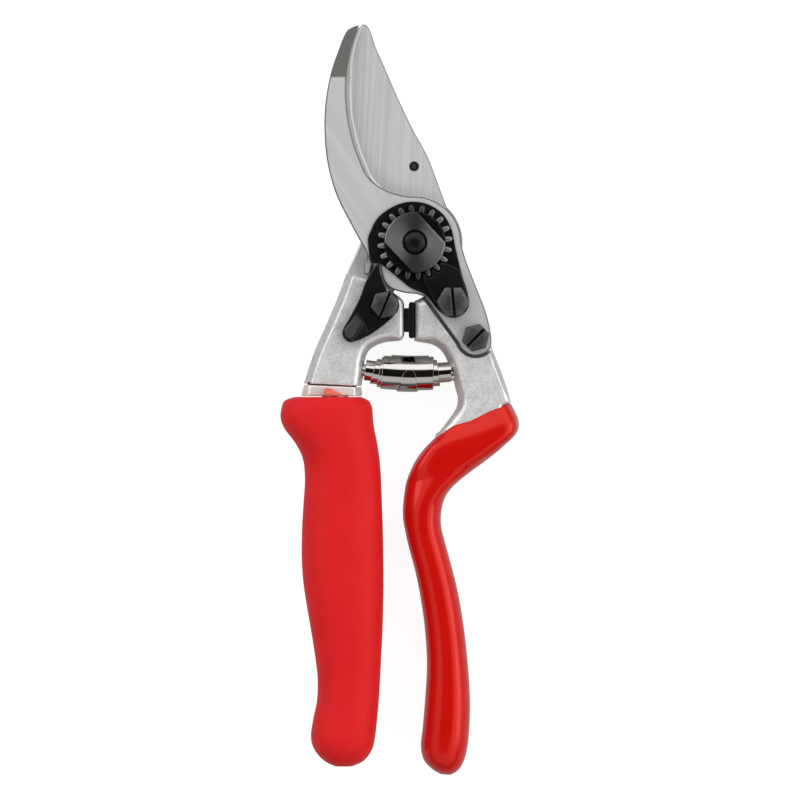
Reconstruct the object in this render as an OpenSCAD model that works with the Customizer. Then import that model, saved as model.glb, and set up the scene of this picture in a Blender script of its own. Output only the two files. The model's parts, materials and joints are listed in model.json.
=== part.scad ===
// Bypass pruning shears, 210 mm long, with a rotating left grip.
// Millimetres. The origin is on the blade pivot, at the back face of the pivot bolt's head, which is
// the plane that the shears lie on. +Y points to the blade tips and +Z to the nut side.

/* [Blades] */
// Thickness of the cutting blade
cut_t = 3.4; // [3:0.1:3.6]
// Thickness of the counter blade
counter_t = 4.0; // [3.6:0.1:4.2]
// Width of the ground bevel on the cutting edge
bevel_w = 4.5; // [2:0.5:6]

/* [Pivot] */
// Radius of the pivot bolt's shank
bolt_r = 5; // [4.5:0.1:5.2]
// Radius of the pivot bolt's head
bolt_head_r = 7.5; // [7:0.1:8]
// Thickness of the pivot bolt's head
bolt_head_t = 3; // [2.5:0.1:3.2]
// Number of teeth on the adjusting nut
nut_teeth = 20; // [16:1:24]
// Radius over the tips of the nut's teeth
nut_tip_r = 10.5; // [10:0.1:10.6]
// Radius at the roots of the nut's teeth
nut_root_r = 8.6; // [8.4:0.1:9]

/* [Handles] */
// Thickness of the forged handles
handle_t = 12.6; // [12:0.1:12.8]
// Width across the flats of the segment's hexagon screw
large_screw_af = 8; // [7:0.1:8]
// Width across the flats of the catch's and the tang's hexagon screws
small_screw_af = 7; // [6.5:0.1:7.5]

/* [Grips] */
// Half thickness of the rotating grip at its thickest
grip_half_t = 10.2; // [9.5:0.1:10.2]
// Half thickness of the dipped coat at its thickest
coat_half_t = 8.9; // [8.5:0.1:9.2]
// Radius of the axle that the grip turns on
axle_r = 4; // [3.8:0.1:4.2]

/* [Fits] */
// Gap between sliding flat faces of different bodies
face_gap = 0.1; // [0.08:0.01:0.15]
// Radial gap of a shaft that turns in its hole
run_gap = 0.05; // [0.03:0.01:0.08]

/* [Quality] */
// Points on each span of a smooth outline
curve_steps = 5; // [3:1:6]
// Points around each section of a grip
grip_sides = 28; // [20:4:32]

/* [Hidden] */
$fn = 64;
// How far joined solids reach into each other, and how far cutters reach past a face
eps = 0.01;
over = 1;

// Levels, from the resting plane up
ring_z0 = bolt_head_t + face_gap;
cut_z0 = ring_z0 + 5.9;
counter_z0 = cut_z0 + cut_t + face_gap;
plate_z0 = counter_z0 + counter_t;
plate_t = 0.8;
nut_z0 = plate_z0 + plate_t;
nut_flange_t = 1.9;
nut_t = 3.3;
segment_t = 2.2;
bolt_top = nut_z0 + nut_t + 0.8;
handle_z0 = ring_z0 + 0.3;
handle_z1 = handle_z0 + handle_t;
washer_t = 0.4;
catch_z0 = handle_z1 + 0.8;
catch_t = 2.4;
catch_tip_z0 = nut_z0 + 0.2;
head_t = 3.2;

// Radii around the pivot
hub_r = 13.3;
ring_r = 13.5;
bush_r = bolt_r + 1.5;
lap_r = 15;
thread_r = 3;

// Screws
screw_r = 2.5;
screw_end = handle_z0 + 2;
segment_screw_pos = [10.7, -16.6];
tang_screw_pos = [17, -26.6];
catch_pos = [-8.3, -17.4];
tang_end_r = 5;
tang_gap = 0.6;
catch_boss_r = 4.2;
catch_boss_t = 0.3;
bore_gap = 0.02;

// Blade fastening
pin_pos = [-0.2, 21.4];
pin_r = 1.2;
rivet_pos = [-8.6, -4.7];
rivet_r = 1.4;

// Grip axis, which runs down the middle of the rotating grip
grip_z = 10.3;
grip_top = [-22.6, -43, grip_z];
grip_lean = 1.83;
grip_bush_r = axle_r + 1.8;
axle_len = 92;
spigot_r = 3.5;
spigot_len = 10;
end_hole_r = 3;
bush_len = 14;
bush_flange_r = 8;
bush_flange_t = 1.5;
axle_screw_r = 2;
axle_screw_len = 11;
axle_head_r = 4.4;
axle_head_t = 2.6;
axle_washer_r = 5.4;
axle_washer_t = 0.8;

// Spring axis
spring_start = [-13.8, -35.7, 9.8];
spring_lean = -2.8;
spring_hole_r = 2.1;
stud_r = 1.7;
stud_depth = 5;
stud_len = 9;
right_stud_z = 19;

// Buffers
buffer_z0 = 5;
buffer_t = 9.6;
left_face_x = -2.9;
right_face_x = -0.2;
buffer_mid_x = -1.5;
left_buffer_y = [-24.7, -18.5];
right_buffer_y = [-26.4, -16.8];
// Root of each buffer in its horn: its y range, depth, level and thickness
left_root_y = [-23.3, -19.9];
right_root_y = [-23.4, -19.6];
left_root_depth = 1.5;
right_root_depth = 1.7;
root_z0 = 7;
root_t = 5.6;
// Box that cuts the flat face of a horn
horn_y0 = -30;
horn_cut = [4, 16, 20];

// Front of the left handle under the blade: centre and radius of each rounding
head_rounds = [[[-1.5, 18], 6], [[-1, 12], 8]];

// Nut
tooth_half = 5.4;
tooth_phase = 5.7;
nut_flats_w = 12.1;
nut_flats_turn = 43;

// Relief on the front of the counter blade's tip
relief_y = 46.2;
relief_slope = 8;

// ---- Functions ----

// Point at fraction t between b and c on the smooth curve through a, b, c and d
function curve_point(a, b, c, d, t) =
    0.5 * (2 * b + (c - a) * t + (2 * a - 5 * b + 4 * c - d) * t * t
        + (3 * b - a - 3 * c + d) * t * t * t);

// Smooth open curve through the points p, without its last point
function curve(p, steps = curve_steps) =
    let (last = len(p) - 1)
    [for (i = [0:last - 1], k = [0:steps - 1])
        curve_point(p[max(i - 1, 0)], p[i], p[i + 1], p[min(i + 2, last)], k / steps)];

// Arc about c from angle a0 to a1
function arc(c, r, a0, a1, n = 8) =
    [for (i = [0:n]) let (a = a0 + (a1 - a0) * i / n) c + r * [cos(a), sin(a)]];

// Toothed outline, its first tooth centred at angle phase
function gear(n, root, tip, half, phase) =
    [for (i = [0:n - 1], k = [[-1, 0], [-0.88, 0.5], [-0.6, 0.88], [-0.2, 1], [0.2, 1], [0.6, 0.88],
            [0.88, 0.5], [1, 0]])
        let (a = phase + 360 / n * i + k[0] * half, r = root + (tip - root) * k[1])
        r * [cos(a), sin(a)]];

// Section of a grip between the outline points a and b, z_half thick above and below z
function section(a, b, z, z_half, power = 2.4) =
    [for (i = [0:grip_sides - 1])
        let (w = 360 * i / grip_sides, c = cos(w), s = sin(w),
            u = sign(c) * pow(abs(c), 2 / power), v = sign(s) * pow(abs(s), 2 / power),
            m = (a + b) / 2 + (b - a) / 2 * u)
        [m[0], m[1], z + z_half * v]];

// ---- Outlines ----

// Counter blade: back of the hook, notch, hub, tang, and up the inside of the hook
counter_back = [[-15.6, 60.9], [-17.8, 60.1], [-19.4, 58.6], [-21.4, 53.6], [-23.5, 47.3],
    [-25, 38.6], [-25.2, 30.2], [-24.3, 21.8], [-21.8, 13.1], [-17, 3.6], [-13.9, -2], [-12.5, -5.6]];
counter_hub = [[-9.5, -7.6], [-8.6, -10.7], [-6.6, -12.8], [-2.7, -14], [0.3, -14.3], [2.9, -15.1]];
counter_front = [[21.1, -29.5], [21.4, -26.6], [20, -19.9], [16.9, -11.8], [14.6, -5.9],
    [13.1, -0.9], [12.5, 3.2], [10.7, 7.3], [7.1, 10.6], [2.6, 12.6], [-2.7, 13], [-8.3, 14.7],
    [-13, 18.3], [-15.6, 23.8], [-17.6, 29.7], [-19, 37.8], [-19.1, 46.2], [-18.1, 52.6],
    [-16.6, 58], [-15.6, 60.9]];
counter_outline = concat(curve(counter_back), [counter_back[len(counter_back) - 1], [-9.6, -5.9]],
    curve(counter_hub), [[2.9, -15.1], [7.1, -21]], arc(tang_screw_pos, tang_end_r, 198, 322),
    curve(counter_front));

// Cutting blade: spine, hub side, heel, and up the cutting edge
cut_spine = [[-15, 61.1], [-13.7, 61], [-12.5, 59.3], [-10.9, 54.6], [-8.9, 50.1], [-5, 41.1],
    [-0.8, 32.2], [1.7, 27.7], [4, 23.2], [5.7, 18.7], [9, 9.8]];
cut_heel = [[-12.7, -8.7], [-14.1, -8.7], [-14.2, -6.2]];
cut_edge = [[-13.4, -5], [-13.3, 2], [-13.1, 9], [-13.3, 14.8], [-15.1, 18.7], [-17.2, 22.5],
    [-19.6, 28.6], [-20.9, 36], [-21.2, 42], [-20.4, 50], [-18.6, 54.9], [-16.3, 59.4], [-15, 61.1]];
cut_outline = concat(curve(cut_spine), arc([0, 0], hub_r, 47, -154, 24), cut_heel, curve(cut_edge));

// Left handle: down its outer side, along its foot, and up its inner side and horn
left_outer = [[-12.8, 4.6], [-15.1, 0.5], [-17, -3.7], [-19, -8.1], [-21.5, -14.9], [-24.3, -21.6],
    [-28.2, -30.5], [-31, -39]];
left_inner = [[-15, -40.1], [-14.4, -36.8], [-14, -32.8], [-12.5, -29.8], [-8.9, -28], [-5.2, -27.5]];
left_horn = [[-5.2, -27.5], [-3.8, -27.2], [-3, -26], [left_face_x, -24.6], [left_face_x, -18.4],
    [-3.2, -16.4], [-4.4, -15], [-6, -13.9]];
left_outline = concat(curve(left_outer), [[-31, -39], [-31, -39.2]], curve(left_inner),
    curve(left_horn), [[-6, -13.9], [0, 0]]);
// Collar under the left handle's foot, the stop lug on it, and the neck in the gap
collar_outline = [[-31.1, -39.7], [-15, -40.4], [-14.7, -42.9], [-32, -42.9]];
lug_outline = [[-25.3, -42.9], [-25.3, -41], [-24.6, -40.6], [-23.7, -40.7], [-20.1, -42.4],
    [-19.2, -42.9]];
neck_outline = [[-30.2, -39.25], [-15.8, -40.06], [-15.8, -42], [-30.2, -42]];
// Edge of the half lap, where the full thickness of the left handle begins
lap_edge = [[-24, -6.8], [-20, -8.3], [-15.9, -9.8], [-13.4, -10.4], [-8.5, -12.3], [0, 0]];

// Right handle: horn, round the pivot, down its outer side, and up its inner side
right_round = arc([0, 0], 14.7, 283, 333);
right_outer = [[14.5, -6.4], [15.3, -8.8], [18, -15.7], [20.4, -23.2], [21.4, -28.6], [23, -32.8],
    [25.5, -39.5], [26.9, -44.4]];
right_inner = [[5.6, -54.5], [9.4, -49.6], [11.6, -46.2], [12, -43.4], [11.5, -41.2], [9.9, -35.2],
    [7.9, -30.8], [5.2, -28.6], [1.6, -27.8]];
right_horn = [[1.6, -27.8], [0.3, -27.5], [right_face_x, -26.6], [right_face_x, -17.2],
    [0.2, -16.2], [1.4, -15.6], [3.3, -14.4]];
// Seat of the tang in the right handle, one gap larger than the tang
seat_outline = concat([[2.3, -15.4], [6.6, -21.4]], arc(tang_screw_pos, tang_end_r + tang_gap, 200, 322),
    [[24, -30], [24, -5], [0, 0]]);

// Dipped coat of the right handle: outer and inner point of each section, and its half thickness
coat_ribs = [
    [[26.9, -45], [4.9, -55.3], 0.79], [[29, -49.4], [2.4, -57.9], 0.95], [[28.6, -53.2], [0.2, -61], 1],
    [[24.4, -57.4], [-1.4, -64.3], 1], [[20.2, -60.8], [-2.5, -67.5], 1], [[15.7, -64.1], [-3.1, -71.5], 1],
    [[11.5, -67.5], [-3.35, -75], 0.98], [[8.7, -70.9], [-3.2, -78], 0.96],
    [[7.5, -75], [-2.6, -81.2], 0.94], [[7.4, -79.2], [-1.9, -84.4], 0.92],
    [[8.4, -83.6], [-1, -87.8], 0.91], [[9.9, -89], [0.2, -92.3], 0.91],
    [[12, -97.4], [1.6, -99.4], 0.93], [[13.7, -107.2], [2.8, -108], 0.96],
    [[14.9, -118], [3.4, -118], 0.99], [[15.5, -128], [2.9, -127.6], 1], [[15.3, -136], [2.2, -135.8], 0.99],
    [[14.7, -141.8], [1.7, -141], 0.94], [[13.5, -145.8], [2.5, -144.8], 0.82],
    [[11.9, -148], [4.8, -147.4], 0.6], [[10.2, -149], [7.1, -148.8], 0.3]];
coat_z = 9.2;
// The coat is squarer where it starts on the flat handle than further down
function coat_power(i) = 2.4 + 4 * max(0, 1 - i / 4);
// The handle's core inside the coat: its share of the coat's width left free at each side
core_last = len(coat_ribs) - 4;
function core_margin(i) = min(0.22, 0.06 + 0.04 * i);
function across(rib, f) = rib[0] + (rib[1] - rib[0]) * f;
coat_wall = 1.4;
core_sections = [for (i = [0:core_last])
    let (rib = coat_ribs[i], m = core_margin(i), back = i == 0 ? [-0.6, 1.2] : [0, 0],
        wall = i == 0 ? 1.1 : coat_wall)
    section(across(rib, m) + back, across(rib, 1 - m) + back, coat_z,
        coat_half_t * rib[2] - wall, coat_power(i))];

// Rotating grip: left x, right x, y and half thickness of each section
grip_ribs = [
    [-34, -15, -43.2, 0.82], [-36.5, -12.9, -44.2, 0.93], [-37.35, -11.95, -46.2, 0.99],
    [-37.6, -11.7, -49.2, 1], [-36.4, -11.3, -52.2, 0.99], [-33.4, -10.5, -56.2, 0.96],
    [-31.4, -9.9, -60.4, 0.92], [-30.8, -9.45, -66, 0.89], [-31.2, -9.2, -73, 0.9],
    [-31.6, -8.95, -80, 0.93], [-31.7, -8.8, -88, 0.95], [-31.25, -8.75, -95, 0.95],
    [-30.2, -8.85, -102, 0.93], [-29, -9.05, -109, 0.9], [-27.9, -9.4, -116, 0.86],
    [-27.25, -9.7, -122, 0.84], [-27.4, -10.05, -128, 0.86], [-28.6, -10.6, -134, 0.89],
    [-29.1, -11.15, -138.6, 0.9], [-28.1, -12, -142, 0.84], [-25.5, -14.2, -145, 0.68],
    [-22.6, -17.3, -146.5, 0.46]];

// Locking plate, a teardrop under the nut and the segment
plate_outline = curve([[-13.1, 0], [-12.8, 2.2], [-10, 7.3], [-4.1, 10.9], [2, 11.2], [7.1, 8.7],
    [10.1, 4.2], [11.5, -2], [13.2, -9], [15, -15.3], [13.8, -19.8], [10.2, -21.1], [6.6, -19],
    [2.9, -14.6], [-1.3, -12.6], [-6.1, -8.7], [-9.7, -5.9], [-12.3, -5.3], [-13.1, 0]]);

// Catch lever, and the raised thumb wedge at its lower end
catch_outline = curve([[-9.7, -5.6], [-9.7, -8.1], [-7.8, -13.2], [-5, -15.9], [-4.4, -18.2],
    [-6.9, -21.6], [-12.5, -25.8], [-17.6, -27.9], [-19.7, -26.8], [-20.2, -24.6], [-17.6, -19.9],
    [-15.2, -15.1], [-13.7, -10.9], [-10.9, -6.5], [-9.7, -5.6]]);
thumb_outline = [[-16.2, -20.2], [-14.2, -22.6], [-13.2, -25.2], [-17.4, -27.4], [-19.3, -26.5],
    [-19.7, -24.6]];

// ---- Shared shapes ----

// Solid through a list of sections with the same number of points
module loft(sections) {
    sides = len(sections[0]);
    last = len(sections) - 1;
    polyhedron(points = [for (ring = sections) each ring],
        faces = concat([[for (i = [sides - 1:-1:0]) i]],
            [for (r = [0:last - 1], i = [0:sides - 1], t = [0, 1])
                let (j = (i + 1) % sides, a = r * sides, b = a + sides)
                t == 0 ? [a + i, a + j, b + j] : [a + i, b + j, b + i]],
            [[for (i = [0:sides - 1]) last * sides + i]]));
}

// Flat plate from z0 to z1 with the given outline
module plate(outline, z0, z1) {
    translate([0, 0, z0])
        linear_extrude(z1 - z0)
            polygon(outline);
}

// Round hole or shaft at p from z0 to z1
module rod(p, r, z0, z1) {
    translate([p[0], p[1], z0])
        cylinder(r = r, h = z1 - z0);
}

// Slotted hexagon head standing on z0, its shank reaching down to z1
module hex_screw(p, af, z0, z1, turn, slot_turn) {
    head_r = af / 2 / cos(30);
    difference() {
        union() {
            intersection() {
                translate([p[0], p[1], z0])
                    rotate(turn)
                        cylinder(r = head_r, h = head_t, $fn = 6);
                translate([p[0], p[1], z0])
                    cylinder(r1 = head_r + 2, r2 = head_r - 0.5, h = head_t);
            }
            rod(p, screw_r, z1, z0);
        }
        translate([p[0], p[1], z0 + head_t])
            rotate(slot_turn)
                cube([3 * head_r, 0.7, 2], center = true);
    }
}

// Block that holds a buffer in its horn, from x0 over the range y
module buffer_root(x0, y, depth) {
    translate([x0, y[0], root_z0])
        cube([depth, y[1] - y[0], root_t]);
}

// Places its children on the grip axis, with local z running down the grip
module on_grip_axis() {
    translate(grip_top)
        rotate([90, 0, grip_lean])
            children();
}

// Places its children on the spring axis, with local z running from left to right
module on_spring_axis() {
    translate(spring_start)
        rotate([0, 90, spring_lean])
            children();
}

// ---- Left body ----

module left_handle() {
    color("gainsboro")
    difference() {
        union() {
            plate(left_outline, handle_z0, handle_z1);
            rod([0, 0], ring_r, ring_z0, cut_z0);
            for (head = head_rounds)
                rod(head[0], head[1], ring_z0, cut_z0);
            rod(catch_pos, catch_boss_r, handle_z1, handle_z1 + catch_boss_t);
        }
        rod([0, 0], lap_r, cut_z0, handle_z1 + over);
        plate(concat(lap_edge, [[0, 30], [-24, 30]]), cut_z0, handle_z1 + over);
        rod([0, 0], bush_r, 0, cut_z0 + over);
        rod(pin_pos, pin_r, 0, cut_z0 + over);
        rod(rivet_pos, rivet_r, 0, cut_z0 + over);
        rod(catch_pos, screw_r, screw_end, handle_z1 + over);
        // Flat face for the buffer, and the pocket of its root
        translate([left_face_x, horn_y0, 0])
            cube(horn_cut);
        buffer_root(left_face_x - left_root_depth, left_root_y, left_root_depth + over);
        on_grip_axis()
            translate([0, 0, -spigot_len])
                cylinder(r = spigot_r, h = spigot_len);
        on_spring_axis()
            translate([0, 0, -stud_depth])
                cylinder(r = stud_r, h = stud_len);
    }
}

// Cutter that grinds the bevel on the back of the cutting edge, and fades in above the heel
module edge_bevel() {
    path = concat(curve(cut_edge), [cut_edge[len(cut_edge) - 1] + [0.6, 0.8]]);
    first = 3 * curve_steps;
    fade = 2 * curve_steps;
    rise = cut_t - 0.3;
    reach = 0.8;
    loft([for (i = [first:len(path) - 2])
        let (p = path[i], along = path[i + 1] - path[i - 1], d = along / norm(along),
            out = [-d[1], d[0]],
            w = bevel_w * min(1, 0.15 + (i - first) / fade, 0.3 + (len(path) - i) / fade / 2),
            a = p + out * reach, b = p - out * w)
        [[b[0], b[1], cut_z0 - 1], [b[0], b[1], cut_z0],
            [a[0], a[1], cut_z0 + rise * (1 + reach / w)], [a[0], a[1], cut_z0 - 1]]]);
}

module cutting_blade() {
    color("lightgray")
    difference() {
        plate(cut_outline, cut_z0, cut_z0 + cut_t);
        edge_bevel();
        rod([0, 0], bush_r, cut_z0 - 1, cut_z0 + cut_t + 1);
        rod(pin_pos, pin_r, cut_z0 - 1, cut_z0 + cut_t + 1);
        rod(rivet_pos, rivet_r, cut_z0 - 1, cut_z0 + cut_t + 1);
    }
}

module blade_pin() {
    color("dimgray")
        rod(pin_pos, pin_r, ring_z0 + 0.2, cut_z0 + cut_t - 0.05);
}

module heel_rivet() {
    color("dimgray")
        rod(rivet_pos, rivet_r, ring_z0 + 0.2, cut_z0 + cut_t - 0.05);
}

module pivot_bush() {
    color("darkgoldenrod")
    difference() {
        rod([0, 0], bush_r, ring_z0, cut_z0 + cut_t);
        rod([0, 0], bolt_r + run_gap, 0, counter_z0);
    }
}

module catch_screw() {
    color("dimgray")
        hex_screw(catch_pos, small_screw_af, catch_z0 + catch_t + face_gap, screw_end, 12, 68);
}

module catch_washer() {
    color("gray")
    difference() {
        rod(catch_pos, 3.9, handle_z1 + catch_boss_t, handle_z1 + catch_boss_t + washer_t);
        rod(catch_pos, screw_r + run_gap, handle_z1, catch_z0);
    }
}

module left_buffer() {
    color("black") {
        translate([left_face_x, left_buffer_y[0], buffer_z0])
            cube([buffer_mid_x - face_gap / 2 - left_face_x, left_buffer_y[1] - left_buffer_y[0], buffer_t]);
        buffer_root(left_face_x - left_root_depth, left_root_y, left_root_depth);
    }
}

module left_spring_stud() {
    color("silver")
        on_spring_axis()
            translate([0, 0, -stud_depth])
                cylinder(r = stud_r, h = stud_len);
}

module volute_spring() {
    // Outer radius of the wound strip and the distance along the axis where each step ends
    steps = [[3, 3.1], [3.5, 4.5], [4.2, 7], [4.8, 18.2], [4.1, 19.6], [3.2, 22.6]];
    color("silver")
        on_spring_axis()
            for (i = [0:len(steps) - 1]) {
                z0 = i == 0 ? 0 : steps[i - 1][1];
                translate([0, 0, z0])
                    difference() {
                        cylinder(r = steps[i][0], h = steps[i][1] - z0);
                        translate([0, 0, -1])
                            cylinder(r = spring_hole_r, h = steps[i][1] - z0 + 2);
                    }
            }
}

module grip_axle() {
    color("silver")
        on_grip_axis()
            difference() {
                union() {
                    translate([0, 0, -spigot_len])
                        cylinder(r = spigot_r, h = spigot_len + 1);
                    cylinder(r = axle_r, h = axle_len);
                }
                translate([0, 0, axle_len - axle_screw_len - over])
                    cylinder(r = axle_screw_r, h = axle_screw_len + 2 * over);
            }
}

module axle_collar() {
    color("gainsboro")
    difference() {
        union() {
            plate(collar_outline, handle_z0 + 0.2, handle_z1 - 0.2);
            // Smaller neck that leaves a groove under the handle's foot
            plate(neck_outline, handle_z0 + 1, handle_z1 - 1);
        }
        on_grip_axis()
            translate([0, 0, -10])
                cylinder(r = spigot_r, h = 20);
    }
}

module stop_lug() {
    color("orangered")
        plate(lug_outline, handle_z1 - 0.2, handle_z1 + 1.6);
}

module axle_end_screw() {
    color("silver")
        on_grip_axis()
            translate([0, 0, axle_len + axle_washer_t])
                difference() {
                    union() {
                        translate([0, 0, -axle_screw_len])
                            cylinder(r = axle_screw_r, h = axle_screw_len);
                        cylinder(r = axle_head_r, h = axle_head_t);
                    }
                    translate([0, 0, 1.4])
                        cylinder(r = 2, h = 2, $fn = 6);
                }
}

module axle_washer() {
    color("silver")
        on_grip_axis()
            translate([0, 0, axle_len])
                difference() {
                    cylinder(r = axle_washer_r, h = axle_washer_t);
                    translate([0, 0, -over])
                        cylinder(r = axle_screw_r, h = axle_washer_t + 2 * over);
                }
}

// ---- Right body ----

module right_handle() {
    foot = [coat_ribs[0][0] + [0, 0.1], coat_ribs[0][1] + [0.3, 0.3]];
    color("gainsboro")
    difference() {
        union() {
            plate(concat(right_round, curve(right_outer), foot, curve(right_inner),
                curve(right_horn)), handle_z0, handle_z1);
            loft(core_sections);
        }
        plate(seat_outline, counter_z0, handle_z1 + over);
        rod(segment_screw_pos, screw_r, screw_end, handle_z1 + over);
        rod(tang_screw_pos, screw_r, screw_end, handle_z1 + over);
        // Flat face for the buffer, and the pocket of its root
        translate([right_face_x - horn_cut[0], horn_y0, 0])
            cube(horn_cut);
        buffer_root(right_face_x - over, right_root_y, right_root_depth + over);
        on_spring_axis()
            translate([0, 0, right_stud_z - over])
                cylinder(r = stud_r, h = stud_len + over);
    }
}

module right_grip() {
    color("red")
    difference() {
        loft([for (i = [0:len(coat_ribs) - 1])
            let (rib = coat_ribs[i])
            section(rib[0], rib[1], coat_z, coat_half_t * rib[2], coat_power(i))]);
        loft(core_sections);
    }
}

module counter_blade() {
    color("lightgray")
    difference() {
        plate(counter_outline, counter_z0, plate_z0);
        rod([0, 0], bolt_r + bore_gap, counter_z0 - over, plate_z0 + over);
        rod(segment_screw_pos, screw_r + run_gap, counter_z0 - over, plate_z0 + over);
        rod(tang_screw_pos, screw_r + run_gap, counter_z0 - over, plate_z0 + over);
        // Sloping relief on the front of the tip
        translate([-30, relief_y, plate_z0])
            rotate([-relief_slope, 0, 0])
                cube([40, 20, 5]);
    }
}

module pivot_bolt() {
    color("dimgray")
        rotate_extrude()
            polygon([[0, 0], [bolt_head_r - 0.7, 0], [bolt_head_r, 0.6], [bolt_head_r, bolt_head_t],
                [bolt_r, bolt_head_t], [bolt_r, plate_z0], [thread_r, plate_z0],
                [thread_r, bolt_top - 0.6], [2.4, bolt_top - 0.2], [1.2, bolt_top], [0, bolt_top]]);
}

module toothed_nut() {
    disc_r = nut_root_r - 0.2;
    color("dimgray")
    difference() {
        union() {
            plate(gear(nut_teeth, nut_root_r, nut_tip_r, tooth_half, tooth_phase), nut_z0,
                nut_z0 + nut_flange_t);
            intersection() {
                rod([0, 0], disc_r, nut_z0 + nut_flange_t - eps, nut_z0 + nut_t);
                translate([0, 0, nut_z0])
                    rotate(nut_flats_turn)
                        cube([nut_flats_w, 30, 12], center = true);
            }
        }
        rod([0, 0], thread_r + bore_gap, nut_z0 - over, nut_z0 + nut_t + over);
    }
}

module locking_plate() {
    color("black")
    difference() {
        plate(plate_outline, plate_z0, nut_z0);
        rod([0, 0], thread_r + bore_gap, plate_z0 - over, nut_z0 + over);
        rod(segment_screw_pos, screw_r + run_gap, plate_z0 - over, nut_z0 + over);
    }
}

module toothed_segment() {
    color("black")
    difference() {
        union() {
            plate(concat(arc([0, 0], nut_root_r + 0.5, 284, 326), [[12.4, -7.6], [14.9, -15.2],
                segment_screw_pos, [5.6, -16.6], [2.5, -11]]), nut_z0, nut_z0 + segment_t);
            rod(segment_screw_pos, 4.5, nut_z0, nut_z0 + segment_t);
        }
        plate(gear(nut_teeth, nut_root_r + 0.2, nut_tip_r + 0.25, tooth_half + 1.4, tooth_phase),
            nut_z0 - over, bolt_top);
        rod(segment_screw_pos, screw_r + run_gap, nut_z0 - over, bolt_top);
    }
}

module segment_screw() {
    color("dimgray")
        hex_screw(segment_screw_pos, large_screw_af, nut_z0 + segment_t, screw_end, 0, 95);
}

module tang_screw() {
    color("dimgray")
        hex_screw(tang_screw_pos, small_screw_af, plate_z0, screw_end, 15, 46);
}

module right_buffer() {
    color("black") {
        translate([buffer_mid_x + face_gap / 2, right_buffer_y[0], buffer_z0])
            cube([right_face_x - buffer_mid_x - face_gap / 2, right_buffer_y[1] - right_buffer_y[0], buffer_t]);
        buffer_root(right_face_x, right_root_y, right_root_depth);
    }
}

module right_spring_stud() {
    color("silver")
        on_spring_axis()
            translate([0, 0, right_stud_z - over])
                cylinder(r = stud_r, h = stud_len + over);
}

// ---- Catch ----

module catch_lever() {
    color("black")
    difference() {
        union() {
            plate(catch_outline, catch_z0, catch_z0 + catch_t);
            plate(thumb_outline, catch_z0 + catch_t - eps, catch_z0 + catch_t + 1.8);
        }
        rod([0, 0], 13.8, catch_z0 - 1, catch_tip_z0);
        rod(catch_pos, screw_r + run_gap, catch_z0 - 1, catch_z0 + catch_t + 3);
    }
}

// ---- Rotating grip ----

module rotating_grip() {
    sections = [for (rib = grip_ribs)
        section([rib[0], rib[2]], [rib[1], rib[2]], grip_z, grip_half_t * rib[3], 2.3)];
    color("red")
    difference() {
        loft(sections);
        on_grip_axis()
            translate([0, 0, -1])
                cylinder(r = grip_bush_r, h = axle_len + 6.4);
        on_grip_axis()
            translate([0, 0, -over])
                cylinder(r = bush_flange_r, h = 3.4);
        on_grip_axis()
            cylinder(r = end_hole_r, h = 120);
    }
}

module upper_bush() {
    color("orangered")
    difference() {
        union() {
            on_grip_axis()
                translate([0, 0, 0.9])
                    cylinder(r = grip_bush_r, h = bush_len);
            on_grip_axis()
                translate([0, 0, 0.9])
                    cylinder(r = bush_flange_r, h = bush_flange_t);
        }
        on_grip_axis()
            translate([0, 0, -1])
                cylinder(r = axle_r + run_gap, h = 20);
    }
}

module lower_bush() {
    color("orangered")
        on_grip_axis()
            translate([0, 0, axle_len - 16])
                difference() {
                    cylinder(r = grip_bush_r, h = bush_len);
                    translate([0, 0, -over])
                        cylinder(r = axle_r + run_gap, h = 20);
                }
}

module grip_end_plug() {
    color("red")
        on_grip_axis()
            translate([0, 0, axle_len + 6])
                cylinder(r = end_hole_r, h = 4.6);
}

left_handle();
cutting_blade();
blade_pin();
heel_rivet();
pivot_bush();
catch_screw();
catch_washer();
left_buffer();
left_spring_stud();
volute_spring();
grip_axle();
axle_collar();
stop_lug();
axle_end_screw();
axle_washer();
right_handle();
counter_blade();
right_grip();
pivot_bolt();
toothed_nut();
locking_plate();
toothed_segment();
segment_screw();
tang_screw();
right_buffer();
right_spring_stud();
catch_lever();
rotating_grip();
upper_bush();
lower_bush();
grip_end_plug();
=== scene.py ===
import json
import math

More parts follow.
